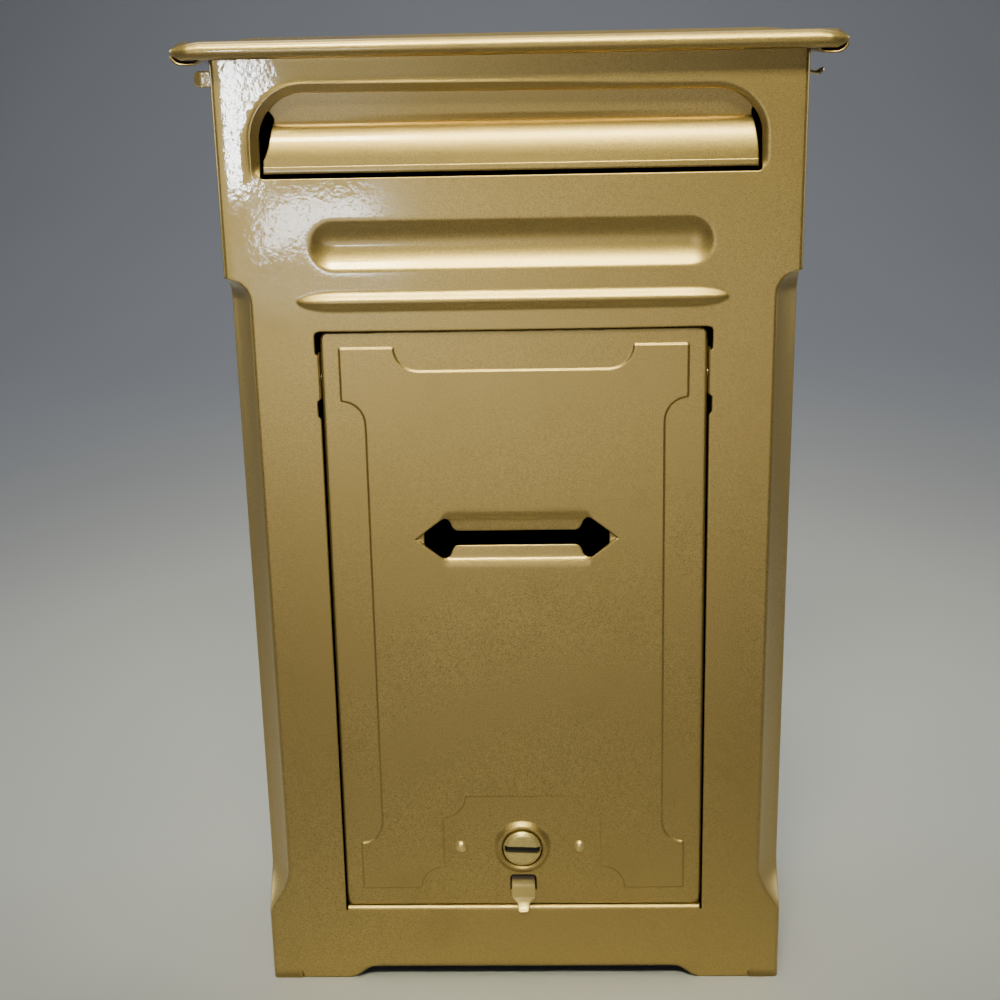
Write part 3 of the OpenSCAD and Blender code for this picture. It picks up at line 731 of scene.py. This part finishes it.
def pull_tongue(material):
    """The doubler behind the door and the finger tongue bent out through the window."""
    y0 = DOOR["y"] + 1.35
    outer = closed(np.concatenate([arc(-29, 57.5, 3, 180, 270, 7), arc(29, 57.5, 3, 270, 360, 7),
                                   arc(29, 74, 3, 0, 90, 7), arc(-29, 74, 3, 90, 180, 7)]), 2.0)
    holes = [closed(arc(0, LOCK_Z, 8.7, 0, 360, 61)[:-1], 5)]
    holes += [closed(arc(s * RIVET_X - RIVET_OFF, LOCK_Z, 1.9, 0, 360, 25)[:-1], 5) for s in (-1,
        1)]
    gx, gz = np.meshgrid(np.linspace(-31, 31, 24), np.linspace(55, 76, 9))
    pts, faces = sheet_with_points(outer, holes, np.stack([gx.ravel(), gz.ravel()], 1),
                                   holes[0] * [1.05, 1] + [0, 0])
    verts = np.stack([pts[:, 0], np.full(len(pts), y0), pts[:, 1]], 1)
    f = FRONT
    path = [(y0, 56.5, 5.1), (y0, 53.0, 5.1), (y0, 50.2, 5.1), (y0 - 0.1, 49.0, 5.1),
            (y0 - 0.4, 48.1, 5.1), (f + 1.95, 47.3, 5.1),
            (f + 1.4, 46.4, 5.1), (f + 1.05, 45.5, 5.1), (f + 0.88, 44.7, 5.1),
            (f + 0.8, 43.6, 5.1), (f + 0.75, 42.2, 5.1),
            (f + 0.7, 40.8, 5.1), (f + 0.55, 39.8, 5.05), (f + 0.3, 39.0, 4.5),
            (f + 0.0, 38.3, 3.6), (f - 0.35, 37.7, 3.0),
            (f - 0.8, 37.0, 2.65), (f - 1.4, 36.2, 2.4), (f - 2.0, 35.4, 2.25),
            (f - 2.6, 34.8, 2.15), (f - 3.1, 34.4, 2.0),
            (f - 3.35, 34.2, 1.4)]
    at = len(verts)
    us = np.linspace(-1, 1, 13)
    strip = [(0.2 + u * w, y + 0.22 * u * u * (1 if z < 48 else 0), z) for y, z,
             w in path for u in us]
    tris = [tuple(t) for t in faces] + [tuple(i + at for i in q) for q in grid_faces(len(path), 13)]
    ob = mesh_object("pull_tongue", np.concatenate([verts, strip]), tris, "door", material)
    thick(ob, 0.9, offset=-1, rim_bevel=0.15)
    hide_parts("pull_plate")
    return ob


# ---------------------------------------------------------------- materials
def node(tree, kind, **values):
    n = tree.nodes.new(kind)
    for k, v in values.items():
        setattr(n, k, v)
    return n


def noise(tree, coords, scale, detail=2.0, rough=0.5):
    n = node(tree, "ShaderNodeTexNoise")
    n.inputs["Scale"].default_value = scale
    n.inputs["Detail"].default_value = detail
    n.inputs["Roughness"].default_value = rough
    tree.links.new(coords, n.inputs["Vector"])
    return n.outputs["Fac"]


def ranged(tree, value, a, b, c, d):
    n = node(tree, "ShaderNodeMapRange")
    tree.links.new(value, n.inputs["Value"])
    for key, v in zip(("From Min", "From Max", "To Min", "To Max"), (a, b, c, d)):
        n.inputs[key].default_value = v
    return n.outputs["Result"]


def place(tree, coords):
    """The x, y and z of the object coordinates, in metres."""
    n = node(tree, "ShaderNodeSeparateXYZ")
    tree.links.new(coords, n.inputs[0])
    return n.outputs[0], n.outputs[1], n.outputs[2]


def product(tree, a, b):
    n = node(tree, "ShaderNodeMath", operation="MULTIPLY")
    tree.links.new(a, n.inputs[0])
    tree.links.new(b, n.inputs[1])
    return n.outputs[0]


def mixed(tree, fac, a, b):
    n = node(tree, "ShaderNodeMix", data_type="RGBA")
    for sock, v in ((n.inputs[6], a), (n.inputs[7], b)):
        if isinstance(v, tuple):
            sock.default_value = (*v, 1)
        else:
            tree.links.new(v, sock)
    if isinstance(fac, float):
        n.inputs[0].default_value = fac
    else:
        tree.links.new(fac, n.inputs[0])
    return n.outputs[2]


def enamel(name, base, tint, metallic, rough, coat, grain=1.0, wear=0.0, polished=False,
           shade=None):
    """Metallic enamel: flake, soft orange peel under a clear gloss, chips to bare steel if worn.

    polished gives a stronger, smoother clear coat in the upper left of the front only; shade is an
    axis, the place on it where the paint is painted near black as shade, and the place where it is
    unchanged.
    """
    mat = bpy.data.materials.new(name)
    mat.use_nodes = True
    t = mat.node_tree
    bsdf = t.nodes["Principled BSDF"]
    co = node(t, "ShaderNodeTexCoord").outputs["Object"]
    flake = noise(t, co, 2300, 2.0, 0.7)
    cloud = noise(t, co, 9, 3.0)
    stain = noise(t, co, 38, 4.0, 0.6)
    dark = tuple(c * (1 - 0.42 * grain) for c in base)
    light = tuple(min(1.0, c * (1 + 0.40 * grain)) for c in base)
    col = mixed(t, ranged(t, flake, 0.30, 0.70, 0, 1), dark, light)
    col = mixed(t, ranged(t, cloud, 0.38, 0.66, 0, 0.55), col, tint)
    col = mixed(t, ranged(t, stain, 0.58, 0.80, 0, 0.22), col, tuple(c * 0.55 for c in base))
    bsdf.inputs["Metallic"].default_value = metallic
    if wear:
        chip = ranged(t, noise(t, co, 420, 5.0, 0.65), 0.74 - 0.1 * wear, 0.76 - 0.1 * wear, 0, 1)
        col = mixed(t, chip, col, (0.62, 0.60, 0.55))
    # Painted shade: the paint goes near black by position along one axis.
    if shade:
        axis, dark_at, clear_at = shade
        col = mixed(t, ranged(t, place(t, co)[axis], dark_at, clear_at, 1, 0), col,
                    (0.03, 0.018, 0.009))
    t.links.new(col, bsdf.inputs["Base Color"])
    t.links.new(ranged(t, flake, 0.3, 0.7, rough - 0.05, rough + 0.07), bsdf.inputs["Roughness"])
    if polished:
        x, _, z = place(t, co)
        patch = product(t, ranged(t, x, -0.030, -0.062, 0, 1), ranged(t, z, 0.296, 0.318, 0, 1))
        pits = ranged(t, noise(t, co, 800, 3.0), 0.58, 0.66, 1, 0.2)
        t.links.new(product(t, ranged(t, patch, 0, 1, coat, 1.0), pits), bsdf.inputs["Coat Weight"])
        t.links.new(ranged(t, patch, 0, 1, 0.22, 0.05), bsdf.inputs["Coat Roughness"])
    else:
        bsdf.inputs["Coat Weight"].default_value = coat
        bsdf.inputs["Coat Roughness"].default_value = 0.20
    peel = node(t, "ShaderNodeBump")
    peel.inputs["Strength"].default_value = 0.5
    peel.inputs["Distance"].default_value = 0.00004
    t.links.new(noise(t, co, 460, 2.0), peel.inputs["Height"])
    grit = node(t, "ShaderNodeBump")
    grit.inputs["Strength"].default_value = 0.22 * grain
    grit.inputs["Distance"].default_value = 0.00003
    t.links.new(flake, grit.inputs["Height"])
    t.links.new(peel.outputs[0], grit.inputs["Normal"])
    t.links.new(grit.outputs[0], bsdf.inputs["Normal"])
    t.links.new(peel.outputs[0], bsdf.inputs["Coat Normal"])
    return mat


def bare_metal(name, base, rough, scale=900):
    """Plated steel with fine uneven gloss."""
    mat = bpy.data.materials.new(name)
    mat.use_nodes = True
    t = mat.node_tree
    bsdf = t.nodes["Principled BSDF"]
    co = node(t, "ShaderNodeTexCoord").outputs["Object"]
    n = noise(t, co, scale, 4.0, 0.6)
    col = mixed(t, ranged(t, n, 0.35, 0.7, 0, 1), base, tuple(c * 0.72 for c in base))
    t.links.new(col, bsdf.inputs["Base Color"])
    bsdf.inputs["Metallic"].default_value = 1.0
    t.links.new(ranged(t, n, 0.3, 0.7, rough - 0.07, rough + 0.1), bsdf.inputs["Roughness"])
    b = node(t, "ShaderNodeBump")
    b.inputs["Strength"].default_value = 0.15
    b.inputs["Distance"].default_value = 0.00004
    t.links.new(n, b.inputs["Height"])
    t.links.new(b.outputs[0], bsdf.inputs["Normal"])
    return mat


def matte(name, colour, rough):
    mat = bpy.data.materials.new(name)
    mat.use_nodes = True
    t = mat.node_tree
    bsdf = t.nodes["Principled BSDF"]
    co = node(t, "ShaderNodeTexCoord").outputs["Object"]
    col = mixed(t, ranged(t, noise(t, co, 3, 3.0), 0.3, 0.7, 0, 1), colour,
                tuple(c * 0.97 for c in colour))
    t.links.new(col, bsdf.inputs["Base Color"])
    bsdf.inputs["Roughness"].default_value = rough
    return mat


GOLD = (0.400, 0.290, 0.102)
GOLD_TINT = (0.374, 0.262, 0.084)
gold = enamel("gold_enamel", GOLD, GOLD_TINT, 0.92, 0.40, 0.14, polished=True)
gold_hardware = enamel("gold_enamel_hardware", (0.60, 0.47, 0.18), (0.54, 0.42, 0.15), 0.8, 0.36,
                       0.3, 0.7, 0.3)
gold_worn = enamel("gold_enamel_worn", (0.56, 0.45, 0.22), (0.55, 0.46, 0.26), 0.8, 0.40, 0.3, 0.8,
                   1.0)
# The tongue's paint is near black above z 48.5 mm and fades to unchanged by 45.2 mm: painted shade
# where it runs in behind the window's top edge.
gold_tongue_painted_shade = enamel("gold_enamel_tongue_painted_shade", (0.52, 0.40, 0.15), (0.46, 0.34, 0.11), 0.7, 0.36, 0.3,
                     0.7, 0.3, shade=(2, 0.0485, 0.0452))
# Back sheet: near black on its inner face, normal gold on its outer face; the dark is painted shade
# inside the box.
gold_back_painted_shade = enamel("gold_enamel_back_painted_shade", GOLD, GOLD_TINT, 0.92, 0.42, 0.2,
                   shade=(1, BACK * MM - 0.0006, BACK * MM - 0.0003))
# Near-black paint for the parts inside the box: painted shade, since the inside lies in shadow.
inside_painted_shade = enamel("inside_painted_shade_enamel", (0.035, 0.026, 0.012), (0.030, 0.022, 0.010), 0.3, 0.6,
                     0.1)
zinc = bare_metal("zinc_steel", (0.62, 0.62, 0.60), 0.36)
dark_steel = bare_metal("worn_steel", (0.42, 0.41, 0.39), 0.42)
# Near-black matte for the barrel's coin slot: painted shade in the slot.
slot_painted_shade = matte("slot_painted_shade", (0.018, 0.014, 0.010), 0.7)

# ---------------------------------------------------------------- pieces
body_shell(gold)
door_skin(gold)
flap_piece(gold)
roof_piece(gold)
lock_head(gold_hardware, slot_painted_shade)
rivet_heads(gold_hardware)
pull_tongue(gold_tongue_painted_shade)
bpy.data.objects["flap_ear_right"].data.materials[0] = gold_worn

# Parts inside the box get the near-black painted shade; the back sheet gets painted shade on its
# inner face.
FINISH = {
    "back_panel": gold_back_painted_shade, "floor_pan": inside_painted_shade, "roof_cleat_left": inside_painted_shade,
    "roof_cleat_right": inside_painted_shade,
    "hinge_lug_left": gold, "hinge_lug_right": gold, "back_rivets": inside_painted_shade,
    "hinge_pin_left": zinc, "hinge_pin_right": zinc,
    "lock_plate": zinc, "cam_washer": dark_steel, "lock_cam": zinc, "cam_screw": dark_steel,
}
for name, finish in FINISH.items():
    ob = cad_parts[name]
    ob.data.materials.clear()
    ob.data.materials.append(finish)
    edge = ob.modifiers.new("edge", "BEVEL")
    edge.width = 0.2 * MM
    edge.segments = 2
    edge.limit_method = "ANGLE"
    edge.angle_limit = math.radians(40)


# ---------------------------------------------------------------- floor, light, camera
def sweep_floor(material):
    """Pale floor that runs up into a backdrop far behind."""
    ys = [-9.0, 0.0, 1.3] + [1.3 + 1.3 * math.sin(a) for a in np.linspace(0.1, math.pi / 2, 18)]
    zs = [0.0, 0.0, 0.0] + [1.3 - 1.3 * math.cos(a) for a in np.linspace(0.1, math.pi / 2, 18)]
    ys.append(2.6)
    zs.append(6.0)
    verts = [(x, y, z) for y, z in zip(ys, zs) for x in (-9.0, 9.0)]
    me = bpy.data.meshes.new("floor")
    me.from_pydata(verts, [], [(i, i + 1, i + 3, i + 2) for i in range(0, len(verts) - 2, 2)])
    me.polygons.foreach_set("use_smooth", [True] * len(me.polygons))
    me.materials.append(material)
    ob = bpy.data.objects.new("floor", me)
    bpy.context.scene.collection.objects.link(ob)


def softbox(name, at, target, width, height, power, colour=(1, 1, 1), spread=180):
    """A rectangular light at a place, in mm, pointed at another place."""
    data = bpy.data.lights.new(name, "AREA")
    data.shape = "RECTANGLE"
    data.size, data.size_y = width * MM, height * MM
    data.energy = power
    data.color = colour
    data.spread = math.radians(spread)
    ob = bpy.data.objects.new(name, data)
    at, target = Vector(at) * MM, Vector(target) * MM
    ob.rotation_mode = "QUATERNION"
    ob.rotation_quaternion = (target - at).to_track_quat("-Z", "Y")
    ob.location = at
    bpy.context.scene.collection.objects.link(ob)
    return ob


sweep_floor(matte("pale_floor", (0.36, 0.37, 0.39), 0.6))

world = bpy.data.worlds.new("studio")
world.use_nodes = True
world.node_tree.nodes["Background"].inputs["Color"].default_value = (0.80, 0.88, 1.0, 1)
world.node_tree.nodes["Background"].inputs["Strength"].default_value = 0.05
bpy.context.scene.world = world

YELLOWISH = (1.0, 0.95, 0.62)
softbox("top_key", (-30, -210, 980), (0, -50, 380), 460, 130, 0.60, YELLOWISH, 75)
softbox("sky", (-20, -900, 1200), (0, -50, 400), 700, 220, 1.8, YELLOWISH, 34)
softbox("front_fill", (40, -860, 130), (10, -40, 230), 640, 200, 0.17, (1.0, 0.95, 0.88), 90)
softbox("lock_key", (-60, -560, 760), (0, -50, 60), 260, 90, 0.14, YELLOWISH, 30)
softbox("overhead", (0, 900, 1900), (0, 1300, 300), 1600, 900, 14, (0.95, 0.97, 1.0), 140)
softbox("window_glint", (-386, -1517, 301), (-107, -44, 375), 30, 165, 0.115, (0.90, 0.95, 1.0), 50)
softbox("window_glint_low", (-270, -1516, 171), (-72, -44, 335), 170, 60, 0.07, (0.95, 0.97, 1.0),
        50)
softbox("left_edge", (-1100, 60, 600), (0, 0, 220), 260, 800, 1.5, (0.9, 0.95, 1.0), 90)
softbox("right_edge", (1100, 160, 600), (0, 0, 220), 260, 800, 1.2, (0.9, 0.95, 1.0), 90)

yaw, pitch, roll = -0.0335, -0.2779, -0.0211
camera_data = bpy.data.cameras.new("camera")
camera_data.lens = 59.04
camera_data.sensor_width = 36.0
camera_data.clip_start, camera_data.clip_end = 0.01, 100
camera = bpy.data.objects.new("camera", camera_data)
rows = (Matrix(((math.cos(roll), -math.sin(roll), 0), (math.sin(roll), math.cos(roll), 0),
                (0, 0, 1)))
        @ Matrix(((1, 0, 0), (0, math.cos(pitch), math.sin(pitch)),
                  (0, -math.sin(pitch), math.cos(pitch))))
        @ Matrix(((1, 0, 0), (0, 0, -1), (0, 1, 0)))
        @ Matrix(((math.cos(yaw), -math.sin(yaw), 0), (math.sin(yaw), math.cos(yaw), 0),
                  (0, 0, 1))))
right, down, forward = rows
pose = Matrix((right, -down, -forward)).transposed().to_4x4()
pose.translation = Vector((15.17, -692.06, 407.33)) * MM
camera.matrix_world = pose
bpy.context.scene.collection.objects.link(camera)
bpy.context.scene.camera = camera
